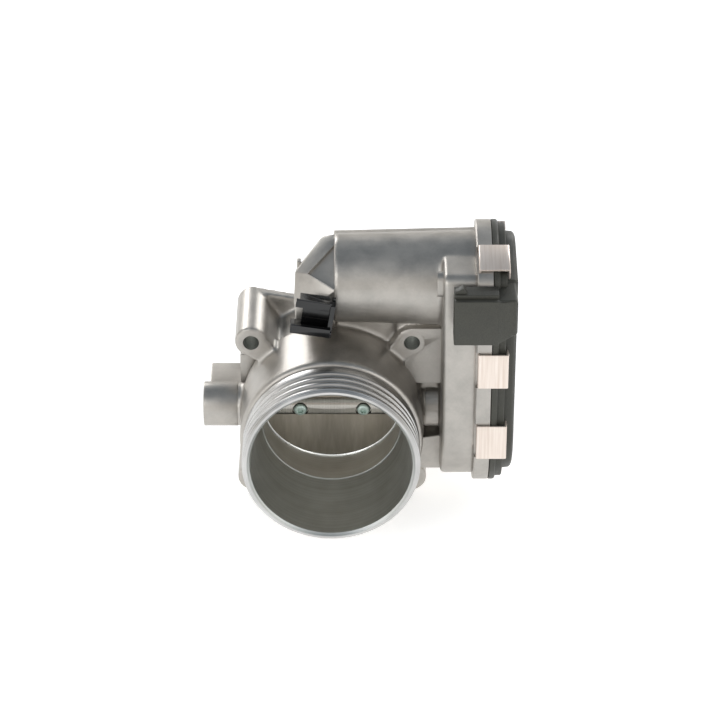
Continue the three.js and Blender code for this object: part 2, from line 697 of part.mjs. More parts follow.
function hoseClip() {
  const body = join(
    block(-11.4, 1.0, -18.4, -16.95, 47.6, 61.4),
    block(-13.3, -0.5, -22.8, -16.95, 59.8, 61.4),
    block(-14.8, -1.4, -24.2, -22.6, 58.7, 61.9),
    block(-0.8, 1.0, -23.4, -16.95, 47.0, 60.6),
    block(-15.5, 1.0, -24.6, -16.95, 47.2, 49.2),
    block(-15.5, 0.4, -25.2, -23.4, 47.2, 50.8),
  );
  const { x, z, tip } = HOSE_CLIP;
  return join(
    body.translate([-x, 0, -z]).rotate([0, tip, 0]).translate([x, 0, z]),
    tongueHole(),
  );
}

// ---------- assembly ----------
const pieces = [
  ['throttle_housing', throttleHousing(), 'cast_aluminium'],
  ['throttle_shaft', throttleShaft(), 'steel'],
  ['throttle_plate', throttlePlate(), 'plate_alloy'],
  ['plate_screw_1', plateScrew(-SCREW_X), 'zinc_steel'],
  ['plate_screw_2', plateScrew(SCREW_X), 'zinc_steel'],
  ['shaft_bearing_far', bearing(-46.6, -40.4), 'steel'],
  ['shaft_bearing_drive', bearing(42.6, 48.8), 'steel'],
  ['shaft_seal_far', shaftSeal(-40, -37.4), 'rubber'],
  ['shaft_seal_drive', shaftSeal(39.8, 42.2), 'rubber'],
  ['shaft_plug', shaftPlug(), 'steel'],
  ['throttle_gear', throttleGear(), 'natural_plastic'],
  ['sensor_magnet_1', magnet(1), 'magnet'],
  ['sensor_magnet_2', magnet(-1), 'magnet'],
  ['spring_bush', tubeX(SHAFT_R, 7.6, 51.2, 55.6, SHAFT, 28), 'natural_plastic'],
  ['return_spring', returnSpring(), 'steel'],
  ['idler_gear', idlerGear(), 'natural_plastic'],
  ['idler_pin', rodX(2.5, 48.5, 69.8, IDLER, 20), 'steel'],
  ['motor_pinion', motorPinion(), 'brass'],
  ['motor_armature', motorArmature(), 'steel'],
  ['motor_can', motorCan(), 'steel'],
  ['motor_brush_plate', motorBrushPlate(), 'black_plastic'],
  ['motor_plate', motorPlate(), 'zinc_steel'],
  ['motor_screw_1', motorScrew(EAR_A), 'zinc_steel'],
  ['motor_screw_2', motorScrew(EAR_B), 'zinc_steel'],
  ['motor_wave_washer', waveWasher(), 'steel'],
  ['gear_cover', gearCover(), 'grey_plastic'],
  ['cover_seal', coverSeal(), 'rubber'],
  ['sensor_board', sensorBoard(), 'board_green'],
  ['motor_contact_1', motorContact(-1), 'brass'],
  ['motor_contact_2', motorContact(1), 'brass'],
  ['hose_clip', hoseClip(), 'black_plastic'],
];
contactRow().forEach((z, i) => pieces.push([`connector_pin_${i + 1}`, connectorPin(z), 'brass']));
clipPlaces().forEach(([y, z, turn], i) => {
  pieces.push([`cover_clip_${i + 1}`, coverClip(y, z, turn), 'clip_steel']);
});

const assembly = new THREE.Group();
assembly.name = 'throttle_body';
const bounds = new THREE.Box3();
for (const [name, solid, material] of pieces) {
  const mesh = new THREE.Mesh(geometryOf(solid), MATERIALS[material]);
  mesh.name = name;
  mesh.geometry.computeBoundingBox();
  bounds.union(mesh.geometry.boundingBox);
  assembly.add(mesh);
}

const centre = bounds.getCenter(new THREE.Vector3());
assembly.position.set(-centre.x, -centre.y, -bounds.min.z);
assembly.updateMatrixWorld(true);

const root = new THREE.Group();
root.add(assembly);
root.updateMatrixWorld(true);

export default root;
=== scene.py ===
"""Dresses an electronic throttle body: cast housing, turned hose spigot, side cover, clips and plate."""

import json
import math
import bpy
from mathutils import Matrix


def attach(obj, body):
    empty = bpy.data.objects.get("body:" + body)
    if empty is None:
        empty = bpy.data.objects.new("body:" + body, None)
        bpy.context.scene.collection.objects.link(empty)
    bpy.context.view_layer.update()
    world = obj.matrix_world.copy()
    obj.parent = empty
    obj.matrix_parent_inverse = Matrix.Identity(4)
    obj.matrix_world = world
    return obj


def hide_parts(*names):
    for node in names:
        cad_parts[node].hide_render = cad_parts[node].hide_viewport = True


bl_info = {
    "name": "Electronic throttle body",
    "version": (1, 0, 0),
    "blender": (4, 5, 0),
    "location": "3D View > Sidebar > Throttle",
    "description": "Models and finishes the visible pieces of a motor-driven throttle body",
    "category": "Object",
}

import bpy
from mathutils import Matrix, Vector

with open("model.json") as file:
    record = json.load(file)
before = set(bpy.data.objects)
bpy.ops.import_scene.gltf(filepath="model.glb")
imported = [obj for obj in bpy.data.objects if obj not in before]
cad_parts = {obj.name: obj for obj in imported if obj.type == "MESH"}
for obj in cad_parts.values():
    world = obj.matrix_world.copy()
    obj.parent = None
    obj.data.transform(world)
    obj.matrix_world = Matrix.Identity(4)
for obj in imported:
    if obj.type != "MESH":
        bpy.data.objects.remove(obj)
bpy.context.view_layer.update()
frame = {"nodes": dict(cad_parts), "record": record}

MM = 0.001
# The bore axis and the throttle shaft axis cross here. Every size below is in millimetres from it.
CROSSING = Vector(
    next(
        joint["pos_m"]
        for joint in frame["record"]["behaviour"]["joints"]
        if joint["name"] == "throttle_hinge"
    )
)

# Centres of the motor and of the idler gear, as (y, z).
MOTOR = (1.0, 59.3)
IDLER = (0.0, 29.66)
# The bolt holes stand at plus and minus BOLT in X and Z.
BOLT = 32.7
BOLT_CORNERS = [(-1, 1), (1, 1), (-1, -1), (1, -1)]
BOSS_RADIUS = 6.6
FLANGE_Y = 29.0
PLATE_SCREWS = (-13.0, 13.0)
TILT = math.radians(10)
# The gearbox rim that the clips grip runs from RIM_X to the cover's joint face.
RIM_X = 57.8
JOINT_X = 64.0
RIM_STEP = 2.8
REAR_LIMIT = 28.6
# A round rim stands out a little less than RIM_STEP, to stay inside the faceted CAD rim.
RIM_OUT = 2.7
CLIP_NEAR, CLIP_FAR = 58.5, 70.8
WALL_BAND = [(-0.8, 0.0, 28.0), (0.0, 29.66, 28.0), (1.0, 59.3, 16.0), (-24.8, 71.3, 4.0)]
RIM_BAND = [(-0.8, 0.0, 28.0), (0.0, 29.66, 28.0), (1.0, 59.3, 20.9), (-24.8, 71.3, 4.0)]


# ---------- small tools ----------


def linear(hexadecimal):
    """An sRGB hex colour as linear values."""
    values = [int(hexadecimal[i : i + 2], 16) / 255 for i in (1, 3, 5)]
    return [v / 12.92 if v <= 0.04045 else ((v + 0.055) / 1.055) ** 2.4 for v in values]


def spot(x, y, z):
    """A place in the shared frame, from millimetres about the crossing of the two axes."""
    return CROSSING + Vector((x, y, z)) * MM


def clear_selection():
    """Nothing selected, and no edit mode left open."""
    if bpy.context.object and bpy.context.object.mode != "OBJECT":
        bpy.ops.object.mode_set(mode="OBJECT")
    bpy.ops.object.select_all(action="DESELECT")


def pick(obj):
    """Only this object selected and active."""
    clear_selection()
    obj.select_set(True)
    bpy.context.view_layer.objects.active = obj
    return obj


def settle(name):
    """The new primitive, named, with its place moved into its mesh."""
    obj = bpy.context.object
    obj.name = name
    obj.data.name = name
    bpy.ops.object.transform_apply(location=True, rotation=True, scale=True)
    return obj


def rod(name, radius, low, high, axis="X", centre=(0.0, 0.0), sides=64):
    """A cylinder along X or Y. The centre is (y, z) for X and (x, z) for Y."""
    clear_selection()
    middle = (low + high) / 2
    if axis == "X":
        place, turn = spot(middle, *centre), (0, math.pi / 2, 0)
    else:
        place, turn = spot(centre[0], middle, centre[1]), (math.pi / 2, 0, 0)
    bpy.ops.mesh.primitive_cylinder_add(
        vertices=sides, radius=radius * MM, depth=(high - low) * MM, location=place, rotation=turn
    )
    return settle(name)


def bar(name, x, y, z):
    """A rectangular block between pairs of limits."""
    clear_selection()
    low, high = spot(x[0], y[0], z[0]), spot(x[1], y[1], z[1])
    bpy.ops.mesh.primitive_cube_add(size=1, location=(low + high) / 2, scale=high - low)
    return settle(name)


def loft(name, rings):
    """A closed solid through rings of points: a filled circle is shaped to the first ring,
    then extruded in edit mode to each of the others."""
    clear_selection()
    count = len(rings[0])
    bpy.ops.mesh.primitive_circle_add(
        vertices=count, radius=0.01, fill_type="NGON", location=rings[0][0]
    )
    obj = settle(name)
    for vertex, point in zip(obj.data.vertices, rings[0]):
        vertex.co = point
    last = list(range(count))
    for ring in rings[1:]:
        bpy.ops.object.mode_set(mode="EDIT")
        bpy.ops.mesh.extrude_region_move(TRANSFORM_OT_translate={"value": (0, 0, 0)})
        bpy.ops.object.mode_set(mode="OBJECT")
        links = {}
        for edge in obj.data.edges:
            a, b = edge.vertices
            links.setdefault(a, []).append(b)
            links.setdefault(b, []).append(a)
        top = [v.index for v in obj.data.vertices if v.select]
        risen = set(top)
        last = [next(j for j in links[i] if j in risen) for i in last]
        for i, point in zip(last, ring):
            obj.data.vertices[i].co = point
    return face_out(obj)


def face_out(obj):
    """Doubles merged and all faces turned outwards."""
    pick(obj)
    bpy.ops.object.mode_set(mode="EDIT")
    bpy.ops.mesh.select_all(action="SELECT")
    bpy.ops.mesh.remove_doubles(threshold=1e-6)
    bpy.ops.mesh.normals_make_consistent(inside=False)
    bpy.ops.object.mode_set(mode="OBJECT")
    return obj


def prism(name, outline, axis, low, high):
    """A polygon carried along an axis: (x, z) pairs along Y, or (y, z) pairs along X."""
    if axis == "Y":
        rings = [[spot(x, t, z) for x, z in outline] for t in (low, high)]
    else:
        rings = [[spot(t, y, z) for y, z in outline] for t in (low, high)]
    return loft(name, rings)


def turned(name, profile, axis="Y", centre=(0.0, 0.0), steps=128):
    """A profile of (radius, distance) spun about an axis along X or Y."""
    clear_selection()
    count = len(profile)
    bpy.ops.mesh.primitive_circle_add(vertices=count, radius=0.01, fill_type="NOTHING")
    obj = settle(name)
    if axis == "Y":
        points = [spot(centre[0] + r, t, centre[1]) for r, t in profile]
        middle, direction = spot(centre[0], 0, centre[1]), (0, 1, 0)
    else:
        points = [spot(t, centre[0] + r, centre[1]) for r, t in profile]
        middle, direction = spot(0, *centre), (1, 0, 0)
    for vertex, point in zip(obj.data.vertices, points):
        vertex.co = point
    bpy.ops.object.mode_set(mode="EDIT")
    bpy.ops.mesh.select_all(action="DESELECT")
    bpy.ops.object.mode_set(mode="OBJECT")
    for edge in obj.data.edges:
        edge.select = set(edge.vertices) == {0, count - 1}
    bpy.ops.object.mode_set(mode="EDIT")
    bpy.ops.mesh.select_mode(type="EDGE")
    bpy.ops.mesh.delete(type="EDGE_FACE")
    bpy.ops.mesh.select_mode(type="VERT")
    bpy.ops.mesh.select_all(action="SELECT")
    bpy.ops.mesh.spin(
        steps=steps, angle=2 * math.pi, center=middle, axis=direction, use_auto_merge=True
    )
    bpy.ops.mesh.select_all(action="SELECT")
    bpy.ops.mesh.remove_doubles(threshold=1e-6)
    bpy.ops.mesh.dissolve_degenerate(threshold=1e-7)
    bpy.ops.mesh.normals_make_consistent(inside=False)
    bpy.ops.object.mode_set(mode="OBJECT")
    return obj


def slice_off(obj, place, direction):
    """Cuts off all that lies past a plane and closes the flat face that is left."""
    pick(obj)
    bpy.ops.object.mode_set(mode="EDIT")
    bpy.ops.mesh.select_all(action="SELECT")
    bpy.ops.mesh.bisect(
        plane_co=place, plane_no=direction, use_fill=True, clear_outer=True, threshold=1e-6
    )
    bpy.ops.object.mode_set(mode="OBJECT")
    return obj


def face_finish(obj, material, test):
    """Gives the faces that pass the test a finish of their own."""
    obj.data.materials.append(material)
    index = len(obj.data.materials) - 1
    for face in obj.data.polygons:
        if test(face):
            face.material_index = index
    return obj


def apply_modifier(obj, kind, **settings):
    """Adds one modifier, sets it and applies it."""
    pick(obj)
    modifier = obj.modifiers.new("step", kind)
    for key, value in settings.items():
        setattr(modifier, key, value)
    bpy.ops.object.modifier_apply(modifier=modifier.name)
    return obj


def combine(obj, others, operation="UNION"):
    """Joins the other solids to obj, or cuts them out of it, one after another."""
    for other in others:
        apply_modifier(
            obj, "BOOLEAN", operation=operation, object=other, solver="EXACT",
            material_mode="TRANSFER",
        )
        bpy.data.objects.remove(other, do_unlink=True)
    return obj


def cut(obj, others):
    """Machines the other solids out of obj."""
    return combine(obj, others, "DIFFERENCE")


def heap(obj, others):
    """One object from several, with their solids left overlapping."""
    clear_selection()
    for other in others:
        other.select_set(True)
    obj.select_set(True)
    bpy.context.view_layer.objects.active = obj
    bpy.ops.object.join()
    return obj


def cast_over(obj, grain, passes):
    """Melts overlapping solids into one skin with soft inside and outside corners."""
    apply_modifier(obj, "REMESH", mode="VOXEL", voxel_size=grain * MM, use_smooth_shade=True)
    apply_modifier(obj, "SMOOTH", factor=0.5, iterations=passes)
    return obj


def break_edges(obj, width, segments=2, angle=35):
    """A small radius on every edge sharper than the angle."""
    return apply_modifier(
        obj, "BEVEL", width=width * MM, segments=segments, limit_method="ANGLE",
        angle_limit=math.radians(angle), use_clamp_overlap=True, harden_normals=False,
        miter_outer="MITER_ARC",
    )


def shade(obj, angle=35):
    """Smooth shading that keeps edges sharper than the angle."""
    pick(obj)
    bpy.ops.object.shade_smooth_by_angle(angle=math.radians(angle))
    return obj


def paint(obj, *materials):
    """Gives a new piece its materials."""
    obj.data.materials.clear()
    for material in materials:
        obj.data.materials.append(material)
    return obj


def twin(obj, name):
    """A copy of a finished piece, with a mesh of its own."""
    pick(obj)
    bpy.ops.object.duplicate(linked=False)
    copy = bpy.context.object
    copy.name = name
    copy.data.name = name
    return copy


def tilt_with_plate(obj):
    """Turns a piece about the shaft axis to the plate's rest angle."""
    turn = Matrix.Translation(CROSSING) @ Matrix.Rotation(TILT, 4, "X")
    obj.data.transform(turn @ Matrix.Translation(-CROSSING))
    return obj


def band(circles, offset, count=160):
    """Points (y, z) of the tight band round a few circles, stood off by the offset."""
    # Behind, the outline is cut flat just short of the manifold face, and narrower levels
    # draw in a little more.
    limit = REAR_LIMIT + min(offset - RIM_STEP, 0) * 0.2
    points = []
    for i in range(count):
        angle = 2 * math.pi * (i + 0.5) / count
        ny, nz = math.cos(angle), math.sin(angle)
        y, z, r = max(circles, key=lambda c: c[0] * ny + c[1] * nz + max(c[2] + offset, 0.3))
        reach = max(r + offset, 0.3)
        points.append((min(y + reach * ny, limit), z + reach * nz))
    return points


def band_loft(name, circles, levels, count=160):
    """A solid whose band outline steps through levels of (x, offset)."""
    rings = [[spot(x, y, z) for y, z in band(circles, offset, count)] for x, offset in levels]
    return loft(name, rings)


# ---------- materials ----------


def add(tree, kind, values=None, links=None):
    """One shader node with its settings, its constant inputs and its links."""
    node = tree.nodes.new(kind)
    for key, value in (values or {}).items():
        if isinstance(key, str) and hasattr(node, key) and key not in node.inputs:
            setattr(node, key, value)
        else:
            node.inputs[key].default_value = value
    for key, source in (links or {}).items():
        tree.links.new(source, node.inputs[key])
    return node


def rgba(hexadecimal):
    """A hex colour as a socket value."""
    return (*linear(hexadecimal), 1.0)


def ramp(tree, factor, stops):
    """A colour ramp through stops of (position, colour)."""
    node = add(tree, "ShaderNodeValToRGB", links={"Fac": factor})
    elements = node.color_ramp.elements
    while len(elements) < len(stops):
        elements.new(0.5)
    for element, (position, colour) in zip(elements, stops):
        element.position = position
        element.color = colour
    return node


def new_finish(name, shader_values):
    """A material with its principled shader set, and its object coordinates ready."""
    material = bpy.data.materials.get(name) or bpy.data.materials.new(name)
    material.use_nodes = True
    tree = material.node_tree
    tree.nodes.clear()
    shader = add(tree, "ShaderNodeBsdfPrincipled", shader_values)
    add(tree, "ShaderNodeOutputMaterial", links={"Surface": shader.outputs["BSDF"]})
    place = add(tree, "ShaderNodeTexCoord").outputs["Object"]
    return material, tree, shader, place


def grey(value):
    """A grey socket colour."""
    return (value, value, value, 1.0)


def die_cast_aluminium():
    """As die-cast aluminium alloy: soft satin grey with cloudy flow marks and a fine pebbled skin."""
    sizes = bpy.context.scene.throttle_finishes
    dark = (*[c * 0.80 for c in sizes.cast_colour], 1.0)
    light = (*sizes.cast_colour, 1.0)
    material, tree, shader, place = new_finish(
        "die_cast_aluminium", {"Metallic": 0.88, "Roughness": 0.4}
    )
    # Flow marks are about 9 mm across and 4 mm patches lie inside them.
    cloud = add(
        tree, "ShaderNodeTexNoise",
        {"Scale": 110.0, "Detail": 3.0, "Roughness": 0.6}, {"Vector": place},
    )
    speck = add(
        tree, "ShaderNodeTexNoise",
        {"Scale": 900.0, "Detail": 2.0, "Roughness": 0.7}, {"Vector": place},
    )
    blend = add(
        tree, "ShaderNodeMath", {"operation": "MULTIPLY_ADD", 1: 0.25},
        {0: speck.outputs["Fac"], 2: cloud.outputs["Fac"]},
    )
    colour = ramp(tree, blend.outputs[0], [(0.42, dark), (0.78, light)])
    rough = ramp(tree, blend.outputs[0], [(0.35, grey(0.33)), (0.85, grey(0.47))])
    tree.links.new(colour.outputs["Color"], shader.inputs["Base Color"])
    tree.links.new(rough.outputs["Color"], shader.inputs["Roughness"])
    # The pebbled skin of the mould is about 0.4 mm, drawn at 0.8 mm so that it shows.
    skin = add(
        tree, "ShaderNodeTexNoise",
        {"Scale": 1250.0, "Detail": 3.0, "Roughness": 0.55}, {"Vector": place},
    )
    bump = add(
        tree, "ShaderNodeBump", {"Strength": 0.22, "Distance": 0.0002},
        {"Height": skin.outputs["Fac"]},
    )
    tree.links.new(bump.outputs["Normal"], shader.inputs["Normal"])
    return material


def turned_finish(name, colour_hex, dark_hex, pitch, low, high, axis):
    """Lathe-turned metal: fine rings round one axis with a soft brushed gloss."""
    material, tree, shader, place = new_finish(
        name, {"Metallic": 0.95, "Roughness": 0.3, "Anisotropic": 0.55}
    )
    centre = add(
        tree, "ShaderNodeMapping", {"Location": tuple(-c for c in CROSSING)}, {"Vector": place}
    )
    parts = add(tree, "ShaderNodeSeparateXYZ", links={"Vector": centre.outputs[0]})
    first, second, along = {"X": ("Y", "Z", "X"), "Y": ("X", "Z", "Y")}[axis]
    squares = [
        add(tree, "ShaderNodeMath", {"operation": "MULTIPLY"},
            {0: parts.outputs[c], 1: parts.outputs[c]})
        for c in (first, second)
    ]
    total = add(
        tree, "ShaderNodeMath", {"operation": "ADD"},
        {0: squares[0].outputs[0], 1: squares[1].outputs[0]},
    )
    radius = add(tree, "ShaderNodeMath", {"operation": "SQRT"}, {0: total.outputs[0]})
    ring = add(
        tree, "ShaderNodeCombineXYZ", links={"X": radius.outputs[0], "Y": parts.outputs[along]}
    )
    # Each ring is one turn of the tool, so the noise is stretched to the tool's feed.
    lines = add(
        tree, "ShaderNodeTexNoise",
        {"Scale": 1000.0 / pitch, "Detail": 2.0, "Roughness": 0.7}, {"Vector": ring.outputs[0]},
    )
    cloud = add(
        tree, "ShaderNodeTexNoise", {"Scale": 90.0, "Detail": 2.0}, {"Vector": place}
    )
    blend = add(
        tree, "ShaderNodeMath", {"operation": "MULTIPLY_ADD", 1: 0.5},
        {0: cloud.outputs["Fac"], 2: lines.outputs["Fac"]},
    )
    colour = ramp(tree, blend.outputs[0], [(0.45, rgba(dark_hex)), (0.95, rgba(colour_hex))])
    rough = ramp(tree, lines.outputs["Fac"], [(0.3, grey(low)), (0.7, grey(high))])
    bump = add(
        tree, "ShaderNodeBump", {"Strength": 0.2, "Distance": 0.00004},
        {"Height": lines.outputs["Fac"]},
    )
    spin = add(tree, "ShaderNodeTangent", {"direction_type": "RADIAL", "axis": axis})
    tree.links.new(colour.outputs["Color"], shader.inputs["Base Color"])
    tree.links.new(rough.outputs["Color"], shader.inputs["Roughness"])
    tree.links.new(bump.outputs["Normal"], shader.inputs["Normal"])
    tree.links.new(spin.outputs["Tangent"], shader.inputs["Tangent"])
    return material


def speckled(name, hex_light, hex_dark, grain_mm, shader_values, bump_mm=0.03, grain=(1, 1, 1)):
    """A plain worked surface: two close tones in grains of the given size, with their relief.
    A grain below 1 along an axis draws the marks out that way."""
    material, tree, shader, place = new_finish(name, shader_values)
    place = add(tree, "ShaderNodeMapping", {"Scale": grain}, {"Vector": place}).outputs[0]
    fine = add(
        tree, "ShaderNodeTexNoise",
        {"Scale": 1000.0 / grain_mm, "Detail": 3.0, "Roughness": 0.6}, {"Vector": place},
    )
    wide = add(
        tree, "ShaderNodeTexNoise",
        {"Scale": 1000.0 / (grain_mm * 14), "Detail": 2.0}, {"Vector": place},
    )
    blend = add(
        tree, "ShaderNodeMath", {"operation": "MULTIPLY_ADD", 1: 0.5},
        {0: wide.outputs["Fac"], 2: fine.outputs["Fac"]},
    )
    colour = ramp(
        tree, blend.outputs[0],
        [(0.55, rgba(hex_dark)), (1.0, rgba(hex_light))],
    )
    base = shader_values["Roughness"]
    rough = ramp(
        tree, wide.outputs["Fac"], [(0.3, grey(base * 0.86)), (0.7, grey(min(base * 1.14, 1)))]
    )
    bump = add(
        tree, "ShaderNodeBump", {"Strength": 0.3, "Distance": bump_mm * MM},
        {"Height": fine.outputs["Fac"]},
    )
    tree.links.new(colour.outputs["Color"], shader.inputs["Base Color"])
    tree.links.new(rough.outputs["Color"], shader.inputs["Roughness"])
    tree.links.new(bump.outputs["Normal"], shader.inputs["Normal"])
    return material


def finishes():
    """Every finish of the throttle body, by its common name."""
    if "finish_list" in finishes.__dict__:
        return finishes.finish_list
    made = {
        "cast": die_cast_aluminium(),
        # Turned aluminium: bright, with the tool's rings 0.35 mm apart drawn at 0.5 mm.
        "spigot": turned_finish(
            "turned_aluminium", "#D2D1CF", "#A3A2A1", 0.5, 0.24, 0.36, "Y"
        ),
        # Bored aluminium: the same metal inside, duller and darker in its own shade.
        "bore": turned_finish(
            "bored_aluminium", "#CDCFCC", "#B0B1AD", 0.7, 0.36, 0.48, "Y"
        ),
        # Milled aluminium: flat brownish-grey faces, satin, with faint cutter arcs.
        "milled": speckled(
            "milled_aluminium", "#A8A199", "#8F8981", 0.6,
            {"Metallic": 0.8, "Roughness": 0.42}, 0.02,
        ),
        # Ground steel: the shaft, grey with fine rings.
        "shaft": turned_finish("ground_steel", "#B4B0A9", "#97938C", 0.4, 0.13, 0.2, "X"),
        # Rolled plate: brown-grey satin, with soft vertical streaks of painted reflection drawn out
        # along Y and Z.
        "plate": speckled(
            "rolled_plate_alloy", "#C4BBAF", "#AFA598", 2.2,
            {"Metallic": 0.8, "Roughness": 0.38}, 0.006, (1, 0.3, 0.15),
        ),
        # Zinc-plated steel: pale with a green cast, half glossy.
        "zinc": speckled(
            "zinc_plated_steel", "#D6E4DE", "#A9BDB4", 0.5,
            {"Metallic": 0.85, "Roughness": 0.36}, 0.01,
        ),
        # Stainless spring strip: warm and bright, with rolling lines.
        "strip": speckled(
            "stainless_strip", "#F2E7DE", "#DCCDC1", 1.1,
            {"Metallic": 0.6, "Roughness": 0.34}, 0.01, (1, 0.04, 0.04),
        ),
        # Glass-filled nylon: dark olive grey, matte, with a sandy moulded skin.
        "cover": speckled(
            "glass_filled_nylon", "#42423B", "#34342E", 0.45,
            {"Metallic": 0.0, "Roughness": 0.52, "Specular IOR Level": 0.45}, 0.04,
        ),
        # Acetal: the hose clip, near black and shiny.
        "acetal": speckled(
            "black_acetal", "#101011", "#0A0A0B", 0.8,
            {"Metallic": 0.0, "Roughness": 0.13, "Specular IOR Level": 0.6}, 0.01,
        ),
        # Nitrile rubber: matte black.
        "rubber": speckled(
            "nitrile_rubber", "#262625", "#191918", 0.5,
            {"Metallic": 0.0, "Roughness": 0.75}, 0.02,
        ),
        # Natural nylon: the gears, creamy and slightly waxy.
        "nylon": speckled(
            "natural_nylon", "#DCD5C2", "#C9C1AC", 0.7,
            {"Metallic": 0.0, "Roughness": 0.4}, 0.01,
        ),
        # Drawn steel: can, pins, bearings and spring.
        "steel": speckled(
            "drawn_steel", "#B3B2AF", "#93928F", 0.5,
            {"Metallic": 0.95, "Roughness": 0.3}, 0.01,
        ),
        # Tinned brass: connector contacts and the pinion.
        "brass": speckled(
            "tinned_brass", "#CDB884", "#AD955F", 0.4,
            {"Metallic": 0.95, "Roughness": 0.3}, 0.01,
        ),
        # Bonded ferrite: the sensor magnets, dull charcoal.
        "ferrite": speckled(
            "bonded_ferrite", "#47464A", "#333236", 0.4,
            {"Metallic": 0.2, "Roughness": 0.6}, 0.02,
        ),
        # Solder mask over glass laminate: the sensor board, green with faint weave.
        "board": speckled(
            "solder_mask", "#2F6647", "#24523A", 0.5,
            {"Metallic": 0.0, "Roughness": 0.35}, 0.02,
        ),
    }
    finishes.finish_list = made
    return made


# ---------- properties ----------


class ThrottleSizes(bpy.types.PropertyGroup):
    """Sizes of the throttle body that a user would change."""

    mouth_radius: bpy.props.FloatProperty(
        name="Mouth radius", description="Inside radius of the hose mouth",
        default=0.0327, min=0.03, max=0.034, unit="LENGTH",
    )
    spigot_radius: bpy.props.FloatProperty(
        name="Spigot radius", description="Outside radius of the hose spigot",
        default=0.0358, min=0.034, max=0.037, unit="LENGTH",
    )
    bore_radius: bpy.props.FloatProperty(
        name="Bore radius", description="Radius of the air bore at the plate",
        default=0.0285, min=0.028, max=0.03, unit="LENGTH",
    )
    cast_grain: bpy.props.FloatProperty(
        name="Casting detail", description="Smallest detail that the cast skin keeps",
        default=0.0008, min=0.0004, max=0.002, unit="LENGTH",
    )
    lens: bpy.props.FloatProperty(
        name="Lens", description="Focal length of the camera in millimetres",
        default=150.0, min=20.0, max=300.0,
    )


class ThrottleFinishes(bpy.types.PropertyGroup):
    """Colours of the throttle body that a user would change."""

    cast_colour: bpy.props.FloatVectorProperty(
        name="Casting", description="Light tone of the cast aluminium",
        default=linear("#BBB7B1"), subtype="COLOR", size=3, min=0, max=1,
    )
    floor_colour: bpy.props.FloatVectorProperty(
        name="Floor", description="Tone of the studio floor",
        default=linear("#FBFAF8"), subtype="COLOR", size=3, min=0, max=1,
    )


# ---------- cast housing ----------


def bolt_web(name, sx, sz):
    """The tapering wall between a bolt boss and the body."""
    outline = [(0, 0), (29, 22.6), (36.8, 27.9), (27.9, 36.8), (22.6, 29)]
    return prism(name, [(sx * x, sz * z) for x, z in outline], "Y", -6.2, 28.6)


def soft_casting():
    """The solids of the housing that flow into each other with cast fillets."""
    edge = BOLT + BOSS_RADIUS
    half = [(-BOLT, edge), (0, 33), (BOLT, edge), (edge, BOLT), (33, 0), (edge, -BOLT)]
    star = half + [(-x, -z) for x, z in half]
    body = turned(
        "housing",
        [(0, -29.6), (36.0, -29.6), (36.8, -29.0), (37.2, -28.0), (37.2, 1),
         (34.4, 2.4), (34.4, 23.6), (38, 24.2), (38, 29.2), (0, 29.2)],
        steps=120,
    )
    solids = [
        prism("flange", star, "Y", 24.4, 29.2),
        bar("back_wall", (28, 48.5), (12, 25), (-16, 16)),
        bar("boss_fill", (28, 48.5), (-1.5, 12.2), (6, 13.6)),
        bar("barrel_fill", (26, 48.3), (-3, 12), (36, 44)),
        bar("low_recess", (30, 48.4), (3, 12.2), (-16, -4)),
        rod("drive_boss", 9.0, 30, 49),
        rod("far_boss", 9.0, -52.8, -30),
        turned("barrel", [(0, 1.2), (17.9, 1.2), (19.3, 59.0), (0, 59.0)], "X", MOTOR, 96),
        bar("neck", (2, 49), (0, 19), (30, 46)),
        bar("neck_end", (-12, 4), (2, 16), (30, 46)),
        band_loft("box", WALL_BAND, [(44.5, -1.4), (44.9, -0.5), (45.6, 0), (58.4, 0)]),
    ]
    for i, (sx, sz) in enumerate(BOLT_CORNERS):
        solids.append(bolt_web(f"web_{i}", sx, sz))
        solids.append(rod(f"boss_{i}", BOSS_RADIUS, -6.2, 29.2, "Y", (sx * BOLT, sz * BOLT), 48))
    return heap(body, solids)


